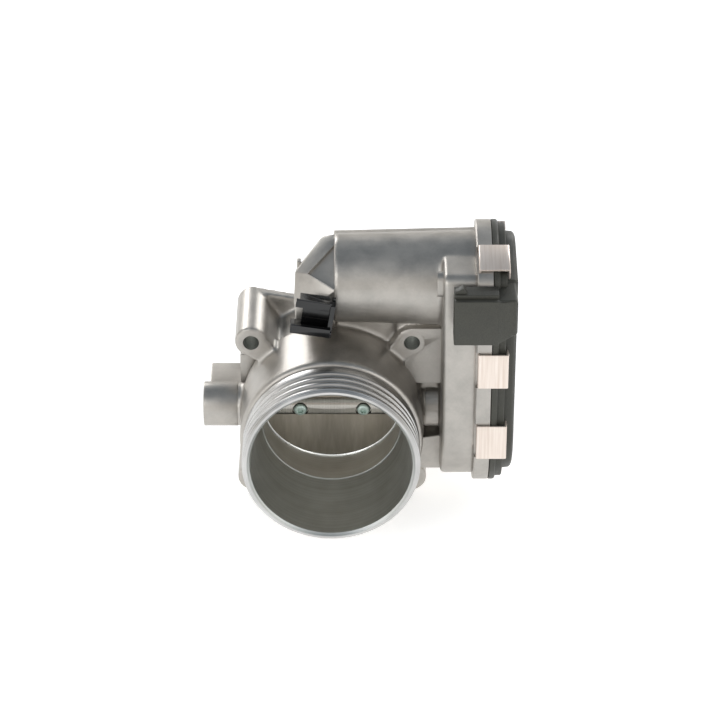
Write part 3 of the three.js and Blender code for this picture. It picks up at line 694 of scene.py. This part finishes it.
def crisp_casting():
    """The solids of the housing that keep the sharp parting edges of the mould."""
    edge = BOLT + BOSS_RADIUS
    land = loft("parting_land", [
        [spot(1.0, y, z) for y, z in ((5, 70), (11.6, 70), (11.6, 75.2), (5, 75.2))],
        [spot(58.4, y, z) for y, z in ((5, 71), (12.2, 71), (12.2, 76.4), (5, 76.4))],
    ])
    blocks = [
        (prism("flat_block",
               [(24, 24), (26.1, 34), (BOLT, edge), (48.3, edge), (48.3, 13.3), (30, 13.3)],
               "Y", -6.0, 24.6), 0.45),
        (prism("low_block", [(24, -28), (48.3, -28), (48.3, -11.2), (28, -14.4), (24, -15)],
               "Y", -6.0, 25), 0.45),
        (bar("rib", (34.5, 38.2), (-5.0, 12), (-22, 2)), 1.2),
        (rod("boss_lip", 9.3, 38.4, 48.4), 0.3),
        (bar("far_block", (-50.3, -33), (1, 20), (-7.7, 7.7)), 0.5),
        (rod("far_collar", 9.2, -52.8, -38.6), 0.5),
        (bar("far_rib", (-37.7, -30), (4, 26), (5, 21)), 0.5),
        (prism("tongue", [(-14.2, 44.5), (0.2, 44.5), (0.2, 52.3), (5.2, 59.4), (-9.5, 59.4),
                          (-14.2, 56.5)], "Y", -16.5, -13.2), 0.4),
        (bar("tongue_root", (-9.5, 0.2), (-14, 4), (44.5, 57)), 0.6),
        (hood(), 0.45),
        (bar("hood_tab", (-14.0, -12.2), (6.5, 9.5), (56, 63.4)), 0.3),
        (land, 0.3),
        (band_loft("rim", RIM_BAND, [(RIM_X, 2.3), (RIM_X + 0.5, RIM_OUT), (JOINT_X, RIM_OUT)]), 0),
        (rod("pad_low", 3.0, 42.2, 49, "X", (-20.5, 66.0), 32), 0),
        (rod("pad_high", 3.0, 42.2, 49, "X", (-20.5, 70.6), 32), 0),
        (bar("pad", (42.2, 49), (-23.5, -17.5), (66.0, 70.6)), 0),
    ]
    first = None
    for solid, width in blocks:
        if width:
            break_edges(solid, width, 3, 20)
        if first:
            combine(first, [solid])
        else:
            first = solid
    return first


def hood():
    """The faceted hood over the closed end of the motor barrel."""
    corners = [
        (1.5, 3.1, 74.4), (1.5, -15.6, 62.4), (-9.3, -6.2, 64.9), (-14.5, -2.3, 63.6),
        (-3.8, 7.6, 74.1), (1.5, 7.6, 75.6), (-3.8, 12, 72), (-14.5, 12, 57), (-15, -8.2, 53.7),
        (-14.2, -13, 46), (0.2, -13, 46), (-14.2, 12, 40), (1.5, 12, 36), (1.5, -3, 38),
    ]
    solid = rod("hood", 1, 0, 1, "X", (0, 0), len(corners) // 2)
    for vertex, point in zip(solid.data.vertices, corners):
        vertex.co = spot(*point)
    pick(solid)
    bpy.ops.object.mode_set(mode="EDIT")
    bpy.ops.mesh.select_all(action="SELECT")
    bpy.ops.mesh.convex_hull(join_triangles=True)
    bpy.ops.object.mode_set(mode="OBJECT")
    return face_out(solid)


def hood_pocket():
    """The sunk triangle in the hood, beside the end of the barrel."""
    outer = [(2.0, 2.6, 74.2), (2.0, -15.2, 62.6), (-9.4, -6.0, 64.9)]
    outward = Vector((-0.25, -0.5, 0.83))
    lift, sink = outward * 6 * MM, outward * -1.3 * MM
    rings = [[spot(*c) + sink for c in outer], [spot(*c) + lift for c in outer]]
    return loft("hood_pocket", rings)


def machining():
    """The cutters that machine the casting, each leaving its own finish on the faces it cuts."""
    finish = finishes()
    sizes = bpy.context.scene.throttle_sizes
    mouth, bore = sizes.mouth_radius / MM, sizes.bore_radius / MM
    tools = [
        (turned("bore_tool", [(0, -49), (mouth + 1.3, -49), (mouth + 1.1, -48.05),
                              (mouth + 0.6, -47.5), (mouth, -46.9), (28.95, -13.7),
                              (28.7, -13.3), (bore, -13.1), (bore, 30), (0, 30)],
                steps=160), "bore"),
        (rod("shaft_tool", 4.8, -49, 51), "bore"),
        (rod("far_bearing_tool", 7.1, -54, -37), "milled"),
        (rod("drive_bearing_tool", 7.1, 39.5, 51), "milled"),
        (rod("motor_tool", 16.2, 5, 60, "X", MOTOR, 64), "milled"),
        (rod("peg_hole", 1.7, -18, -9.5, "Y", (-6.7, 52.6), 32), "cast"),
        (hood_pocket(), "cast"),
    ]
    for y, z, turn in clip_places():
        pocket = bar("pocket", (RIM_X - 0.6, CLIP_NEAR + 0.75), (-8.1, 8.1), (-2.6, 3))
        tools.append((onto_rim(pocket, y, z, turn), "cast"))
    for i, (sx, sz) in enumerate(BOLT_CORNERS):
        centre = (sx * BOLT, sz * BOLT)
        tools.append((rod(f"drill_{i}", 3.25, -8, 31, "Y", centre, 48), "bore"))
    return [(paint(tool, finish[name])) for tool, name in tools]


def gearbox_hollow():
    """The hollow of the gearbox with the bosses that stand up from its floor."""
    hollow = band_loft("hollow", WALL_BAND, [(50, -2.4), (RIM_X + 1, -2.4)])
    wide = band_loft("hollow_rim", RIM_BAND, [(RIM_X + 0.4, -2.4), (JOINT_X + 1, -2.4)])
    combine(hollow, [wide])
    cut(hollow, [
        rod("idler_boss", 5, 49, 55.8, "X", IDLER, 32),
        rod("shaft_boss", 9, 49, 50.4, "X", (0, 0), 48),
        rod("ear_boss_a", 3.4, 49, 52.4, "X", (-16.8, 69.2), 24),
        rod("ear_boss_b", 3.4, 49, 52.4, "X", (14.1, 43.7), 24),
    ])
    return paint(hollow, finishes()["cast"])


class MESH_OT_throttle_housing(bpy.types.Operator):
    """Casts the housing in one skin, adds its turned hose spigot and machines its faces and bores"""

    bl_idname = "mesh.throttle_housing"
    bl_label = "Housing"

    def execute(self, context):
        finish = finishes()
        sizes = context.scene.throttle_sizes
        outer = sizes.spigot_radius / MM
        housing = soft_casting()
        cast_over(housing, sizes.cast_grain / MM, 6)
        apply_modifier(housing, "DECIMATE", decimate_type="COLLAPSE", ratio=0.35)
        slice_off(housing, spot(0, FLANGE_Y, 0), (0, 1, 0))
        combine(housing, [crisp_casting()])
        paint(housing, finish["cast"])
        profile = [(0, -48), (34.2, -48), (34.7, -47.9), (outer, -46.6)]
        for crest in (-45.4, -41.4, -37.4):
            profile += [(outer, crest - 0.1), (outer - 0.15, crest + 0.15), (34.7, crest + 0.6),
                        (34.5, crest + 1.0), (34.5, crest + 1.7), (34.7, crest + 2.1),
                        (outer - 0.15, crest + 2.5), (outer, crest + 2.8)]
        profile += [(outer, -30.6), (outer - 0.5, -30.2), (35.2, -29.8), (35.2, -27.5), (0, -27.5)]
        spigot = paint(turned("spigot", profile, steps=192), finish["spigot"])
        combine(housing, [spigot])
        cut(housing, machining())
        cut(housing, [gearbox_hollow()])
        back, joint = spot(0, FLANGE_Y, 0).y, spot(JOINT_X, 0, 0).x
        face_finish(
            housing, finish["milled"],
            lambda face: (face.normal.y > 0.99 and abs(face.center.y - back) < 2e-5)
            or (face.normal.x > 0.99 and abs(face.center.x - joint) < 2e-5),
        )
        shade(housing, 32)
        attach(housing, "housing")
        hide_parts("throttle_housing")
        return {"FINISHED"}


# ---------- cover and connector ----------


class MESH_OT_throttle_cover(bpy.types.Operator):
    """Moulds the gear cover with its stepped rim, domed face and wiring socket"""

    bl_idname = "mesh.throttle_cover"
    bl_label = "Gear cover"

    def execute(self, context):
        finish = finishes()
        cover = band_loft("gear_cover_shell", RIM_BAND, [
            (64.3, 2.5), (64.5, RIM_OUT), (66.1, RIM_OUT), (66.5, 2.5), (66.8, 2.2), (66.85, 1.25),
            (69.3, 1.2), (69.6, 0.9), (69.65, -1.9), (72.4, -2.2), (73.0, -2.5), (73.5, -3.1),
            (73.85, -4.0), (74.0, -5.2),
        ])
        x0, x1, y0, y1, z0, z1 = 48.4, 66.0, -42.0, -32.2, 52.6, 73.9
        socket = bar("socket", (x0, x1), (y0, y1), (z0, z1 - 1.6))
        break_edges(socket, 0.5)
        crown = break_edges(bar("crown", (x0, x1), (y0 + 2.6, y1), (z1 - 3, z1)), 0.4)
        lock = prism("lock", [(x0 + 0.4, z1 - 1), (x0 + 5, z1 - 1), (x0 + 5, z1 + 0.4),
                              (x0 + 3.4, z1 + 2.4), (x0 + 0.4, z1 + 0.6)], "Y", -38.4, -35)
        root = break_edges(
            bar("root", (x1 - 0.6, 73.0), (y0 + 1.2, -25), (z0 + 3.6, z1 - 1.6)), 0.8, 3
        )
        flare = taper(x1, y0, y1, z0, z1)
        combine(cover, [socket, crown, break_edges(lock, 0.25), root, flare])
        hollow = band_loft("hollow", RIM_BAND, [(63, -2), (68.6, -2)])
        combine(hollow, [band_loft("hollow_dome", RIM_BAND, [(68, -4.2), (72.4, -4.6)])])
        cut(hollow, [rod("idler_post", 5, 66.6, 75, "X", IDLER, 32)])
        mouth = bar("mouth", (x0 - 1, x1 - 4), (y0 + 1.7, y1 - 1.7), (z0 + 1.7, z1 - 3.3))
        tools = [hollow, break_edges(mouth, 0.4), rod("pin_seat", 2.8, 60, 72.4, "X", IDLER, 32)]
        for i in range(6):
            z = 56.9 + 2.54 * i
            tools.append(bar(f"slot_{i}", (x1 - 5, x1 - 0.9), (-37.9, -36.3), (z - 0.7, z + 0.7)))
        cut(cover, [paint(tool, finish["cover"]) for tool in tools])
        paint(cover, finish["cover"])
        shade(cover, 30)
        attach(cover, "housing")
        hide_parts("gear_cover")
        return {"FINISHED"}


def taper(x1, y0, y1, z0, z1):
    """The wedge that carries the socket's walls back to the cover."""
    near = [(y0, z0), (y1, z0), (y1, z1 - 1.6), (y0, z1 - 1.6)]
    far = [(y0 + 3, z0 + 3.6), (y1, z0 + 3.6), (y1, z1 - 3.6), (y0 + 3, z1 - 3.6)]
    rings = [[spot(x1 - 1, y, z) for y, z in near], [spot(73.5, y, z) for y, z in far]]
    return break_edges(loft("flare", rings), 0.5)


# ---------- clips ----------


def clip_places():
    """Foot of each cover clip on the rim, as (y, z, degrees turned)."""
    top, corner, low = RIM_BAND[2], RIM_BAND[3], RIM_BAND[0]
    gap = math.hypot(top[0] - corner[0], top[1] - corner[1])
    lean = math.asin((top[2] - corner[2]) / gap)
    normal = math.atan2(top[1] - corner[1], top[0] - corner[0]) + math.pi / 2 + lean
    ny, nz = math.cos(normal), math.sin(normal)
    # The first clip sits on the straight shelf, this far along it from the motor's arc.
    along = 16.6
    out = top[2] + RIM_STEP
    shelf = (top[0] + out * ny - along * nz, top[1] + out * nz + along * ny)
    places = [(*shelf, math.degrees(normal) - 90), (-31.6, 34.8, 90), (-31.6, 1.4, 90)]
    for circle, angle in ((top, 16), (low, -62)):
        turn = math.radians(angle)
        reach = circle[2] + RIM_STEP
        places.append((circle[0] + reach * math.cos(turn), circle[1] + reach * math.sin(turn),
                       angle - 90))
    return places


def onto_rim(obj, y, z, turn):
    """Moves a piece made at the crossing, with its outside towards +Z, to its foot on the rim."""
    spin = Matrix.Translation(spot(0, y, z)) @ Matrix.Rotation(math.radians(turn), 4, "X")
    obj.data.transform(spin @ Matrix.Translation(-CROSSING))
    return obj


class MESH_OT_throttle_clips(bpy.types.Operator):
    """Bends the spring clips that hold the cover to the gearbox rim"""

    bl_idname = "mesh.throttle_clips"
    bl_label = "Cover clips"

    def execute(self, context):
        finish = finishes()
        a, b = CLIP_NEAR, CLIP_FAR
        profile = [(a, 0.5), (a + 0.1, 0.85), (a + 0.4, 1.05), (a + 0.7, 1.1), (b - 0.7, 1.1),
                   (b - 0.3, 1.0), (b - 0.05, 0.75), (b, 0.4), (b, -3.3), (b - 0.2, -3.8),
                   (b - 0.6, -4.0), (b - 0.7, -3.6), (b - 0.7, 0.3), (a + 0.7, 0.3),
                   (a + 0.7, -2.2), (a, -2.2)]
        first = prism("spring_clip_1", profile, "Y", -7.65, 7.65)
        break_edges(first, 0.12, 2, 40)
        shade(paint(first, finish["strip"]), 35)
        places = clip_places()
        clips = [first] + [twin(first, f"spring_clip_{i}") for i in range(2, len(places) + 1)]
        for i, (clip, (y, z, turn)) in enumerate(zip(clips, places), start=1):
            onto_rim(clip, y, z, turn)
            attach(clip, "housing")
            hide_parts(f"cover_clip_{i}")
        return {"FINISHED"}


class MESH_OT_throttle_hose_clip(bpy.types.Operator):
    """Moulds the black clip that holds a thin hose in front of the motor barrel"""

    bl_idname = "mesh.throttle_hose_clip"
    bl_label = "Hose clip"

    def execute(self, context):
        clip = bar("hose_holder", (-11.4, 1.0), (-18.4, -16.95), (47.6, 61.4))
        combine(clip, [
            bar("roof", (-13.3, -0.5), (-22.8, -16.96), (59.8, 61.41)),
            bar("lip", (-14.8, -1.4), (-24.2, -22.6), (58.7, 61.9)),
            bar("side", (-0.8, 1.01), (-23.4, -16.97), (47.0, 60.6)),
            bar("floor", (-15.5, 1.02), (-24.6, -16.98), (47.2, 49.2)),
            bar("jaw_lip", (-15.51, 0.4), (-25.2, -23.41), (47.21, 50.8)),
            bar("ledge", (-11.41, -0.5), (-19.2, -18.0), (50.4, 51.4)),
        ])
        face_out(clip)
        break_edges(clip, 0.4, 3, 25)
        pivot = spot(-6.7, 0, 54)
        turn = Matrix.Rotation(math.radians(9), 4, "Y")
        clip.data.transform(Matrix.Translation(pivot) @ turn @ Matrix.Translation(-pivot))
        combine(clip, [rod("peg", 1.6, -17.4, -9.6, "Y", (-6.7, 52.6), 32)])
        paint(clip, finishes()["acetal"])
        shade(clip, 35)
        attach(clip, "housing")
        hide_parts("hose_clip")
        return {"FINISHED"}


# ---------- throttle shaft, plate and screws ----------


class MESH_OT_throttle_plate(bpy.types.Operator):
    """Turns the shaft and plate and sets the two plate screws in their seats"""

    bl_idname = "mesh.throttle_plate"
    bl_label = "Shaft, plate and screws"

    def execute(self, context):
        shaft = turned(
            "slotted_shaft",
            [(0, -47.6), (3.9, -47.6), (4.5, -47), (4.5, 50.6), (4.0, 51), (4.0, 65.4),
             (3.4, 66), (0, 66)], "X", (0, 0), 64,
        )
        tools = [bar("slot", (-28.8, 28.8), (-1.15, 1.15), (-6, 6)),
                 bar("drive_flat", (59, 67), (2.9, 6), (-6, 6))]
        for x in PLATE_SCREWS:
            tools.append(rod("seat", 3.3, -6, -3.1, "Y", (x, 0), 48))
            tools.append(rod("clearance", 1.8, -6, 3.4, "Y", (x, 0), 32))
        cut(shaft, tools)
        dress(tilt_with_plate(break_edges(shaft, 0.15, 2, 40)), "shaft", "throttle_shaft", 35)
        plate = turned(
            "butterfly_plate",
            [(0, -1.0), (27.6, -1.0), (28.05, -0.8), (28.2, -0.4), (28.2, 0.4), (28.05, 0.8),
             (27.6, 1.0), (0, 1.0)], "Y", (0, 0), 160,
        )
        cut(plate, [rod("hole", 1.8, -2, 2, "Y", (x, 0), 32) for x in PLATE_SCREWS])
        dress(tilt_with_plate(plate), "plate", "throttle_plate", 35)
        first = pan_screw("pan_screw_1", PLATE_SCREWS[0])
        second = twin(first, "pan_screw_2")
        step = (PLATE_SCREWS[1] - PLATE_SCREWS[0]) * MM
        second.data.transform(Matrix.Translation((step, 0, 0)))
        for i, screw in enumerate((first, second), start=1):
            dress(tilt_with_plate(screw), "zinc", f"plate_screw_{i}", 35)
        return {"FINISHED"}


def pan_screw(name, x):
    """A pan-head screw with a six-lobed recess."""
    screw = turned(
        name,
        [(0, -4.8), (1.8, -4.8), (2.3, -4.7), (2.65, -4.35), (2.8, -3.9), (2.8, -3.5),
         (2.65, -3.4), (1.5, -3.4), (1.5, 2.8), (1.3, 3.0), (0, 3.0)], "Y", (x, 0), 48,
    )
    lobes = []
    for i in range(48):
        angle = 2 * math.pi * i / 48
        reach = 1.3 + 0.24 * math.cos(6 * angle)
        lobes.append((x + reach * math.cos(angle), reach * math.sin(angle)))
    cut(screw, [prism("recess", lobes, "Y", -6, -3.9)])
    return screw


def dress(obj, finish_name, node, angle):
    """Paints a moving piece and puts it in its node's place on the throttle body."""
    paint(obj, finishes()[finish_name])
    shade(obj, angle)
    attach(obj, "throttle")
    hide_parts(node)
    return obj


class OBJECT_OT_throttle_inner_finishes(bpy.types.Operator):
    """Gives every inner piece that keeps its own shape a finish of its own"""

    bl_idname = "object.throttle_inner_finishes"
    bl_label = "Inner finishes"

    def execute(self, context):
        finish = finishes()
        by_slot = {
            "cast_aluminium": "cast", "shaft_steel": "shaft", "plate_alloy": "plate",
            "zinc_steel": "zinc", "bearing_steel": "steel", "spring_steel": "steel",
            "clip_steel": "strip", "motor_steel": "steel", "brass": "brass", "rubber": "rubber",
            "gear_plastic": "nylon", "cover_plastic": "cover", "black_plastic": "acetal",
            "clip_plastic": "acetal", "magnet": "ferrite", "board": "board",
        }
        for entry in frame["record"]["subparts"]:
            node = frame["nodes"][entry["node"]]
            material = finish[by_slot[entry["material_slot"]]]
            for slot in node.material_slots:
                slot.link = "OBJECT"
                slot.material = material
        return {"FINISHED"}


# ---------- stage ----------


class SCENE_OT_throttle_stage(bpy.types.Operator):
    """Sets the pale floor, the soft lights and the camera"""

    bl_idname = "scene.throttle_stage"
    bl_label = "Stage"

    def execute(self, context):
        colours = context.scene.throttle_finishes
        clear_selection()
        bpy.ops.mesh.primitive_plane_add(size=8, location=(0, 0, -0.0003))
        floor = settle("studio_floor")
        material, tree, shader, place = new_finish(
            "painted_board",
            {"Roughness": 0.9, "Emission Color": (1.0, 1.0, 1.0, 1.0), "Emission Strength": 0.55},
        )
        shade_noise = add(
            tree, "ShaderNodeTexNoise", {"Scale": 3.0, "Detail": 2.0}, {"Vector": place}
        )
        dim = (*[c * 0.985 for c in colours.floor_colour], 1.0)
        tone = ramp(
            tree, shade_noise.outputs["Fac"], [(0.3, dim), (0.7, (*colours.floor_colour, 1.0))]
        )
        tree.links.new(tone.outputs["Color"], shader.inputs["Base Color"])
        paint(floor, material)
        self.lights(context)
        self.camera(context)
        return {"FINISHED"}

    def lights(self, context):
        """Two soft panels in front, two behind, and a room that is cooler overhead."""
        aim = spot(11, 0, 20)
        # Each panel's glow is its power over pi times its area, and stays near that of paper.
        panels = [
            ("front_left_panel", (-0.95, -1.0, 0.75), 0.9, 2.4),
            ("front_right_panel", (0.95, -0.95, 0.7), 0.8, 1.9),
            ("back_left_panel", (-0.55, 1.1, 0.62), 0.5, 5.6),
            ("back_right_panel", (0.6, 1.05, 0.6), 0.5, 5.4),
        ]
        for name, place, size, glow in panels:
            clear_selection()
            bpy.ops.object.light_add(type="AREA", location=place)
            lamp = context.object
            lamp.name = name
            lamp.data.shape = "SQUARE"
            lamp.data.size = size
            lamp.data.energy = glow * math.pi * size * size
            lamp.rotation_euler = (aim - Vector(place)).to_track_quat("-Z", "Y").to_euler()
        world = context.scene.world or bpy.data.worlds.new("room")
        context.scene.world = world
        world.use_nodes = True
        tree = world.node_tree
        tree.nodes.clear()
        way = add(tree, "ShaderNodeTexCoord").outputs["Generated"]
        parts = add(tree, "ShaderNodeSeparateXYZ", links={"Vector": way})
        height = add(
            tree, "ShaderNodeMath", {"operation": "MULTIPLY_ADD", 1: 0.5, 2: 0.5},
            {0: parts.outputs["Z"]},
        )
        tone = ramp(tree, height.outputs[0], [
            (0.0, grey(0.9)), (0.5, rgba("#D8D4CE")), (0.68, rgba("#CFCDCA")),
            (0.84, rgba("#8A929A")), (1.0, rgba("#757E87")),
        ])
        glow = add(
            tree, "ShaderNodeBackground", {"Strength": 1.15}, {"Color": tone.outputs["Color"]}
        )
        add(tree, "ShaderNodeOutputWorld", links={"Surface": glow.outputs[0]})
        context.scene.view_settings.view_transform = "Standard"
        context.scene.view_settings.look = "None"

    def camera(self, context):
        """Looks along +Y and 31 degrees down from 1.23 m away."""
        tip = math.radians(31)
        reach = 1230.0
        place = spot(11.6, -reach * math.cos(tip), 20.9 + reach * math.sin(tip))
        clear_selection()
        bpy.ops.object.camera_add(location=place, rotation=(math.pi / 2 - tip, 0, 0))
        camera = context.object
        camera.data.lens = context.scene.throttle_sizes.lens
        camera.data.sensor_width = 36
        camera.data.clip_end = 20
        context.scene.camera = camera


# ---------- panel and registration ----------

OPERATORS = (
    OBJECT_OT_throttle_inner_finishes,
    MESH_OT_throttle_housing,
    MESH_OT_throttle_cover,
    MESH_OT_throttle_clips,
    MESH_OT_throttle_hose_clip,
    MESH_OT_throttle_plate,
    SCENE_OT_throttle_stage,
)


class VIEW3D_PT_throttle(bpy.types.Panel):
    """Lists the sizes, colours and operators of the throttle body"""

    bl_label = "Throttle body"
    bl_space_type = "VIEW_3D"
    bl_region_type = "UI"
    bl_category = "Throttle"

    def draw(self, context):
        layout = self.layout
        for group in (context.scene.throttle_sizes, context.scene.throttle_finishes):
            for name in group.__annotations__:
                layout.prop(group, name)
        for operator in OPERATORS:
            layout.operator(operator.bl_idname)


CLASSES = (ThrottleSizes, ThrottleFinishes, *OPERATORS, VIEW3D_PT_throttle)


def register():
    for item in CLASSES:
        bpy.utils.register_class(item)
    bpy.types.Scene.throttle_sizes = bpy.props.PointerProperty(type=ThrottleSizes)
    bpy.types.Scene.throttle_finishes = bpy.props.PointerProperty(type=ThrottleFinishes)


def unregister():
    del bpy.types.Scene.throttle_finishes
    del bpy.types.Scene.throttle_sizes
    for item in reversed(CLASSES):
        bpy.utils.unregister_class(item)


def main():
    register()
    bpy.ops.object.throttle_inner_finishes()
    bpy.ops.mesh.throttle_housing()
    bpy.ops.mesh.throttle_cover()
    bpy.ops.mesh.throttle_clips()
    bpy.ops.mesh.throttle_hose_clip()
    bpy.ops.mesh.throttle_plate()
    bpy.ops.scene.throttle_stage()
    bpy.context.view_layer.update()


if __name__ == "__main__":
    main()
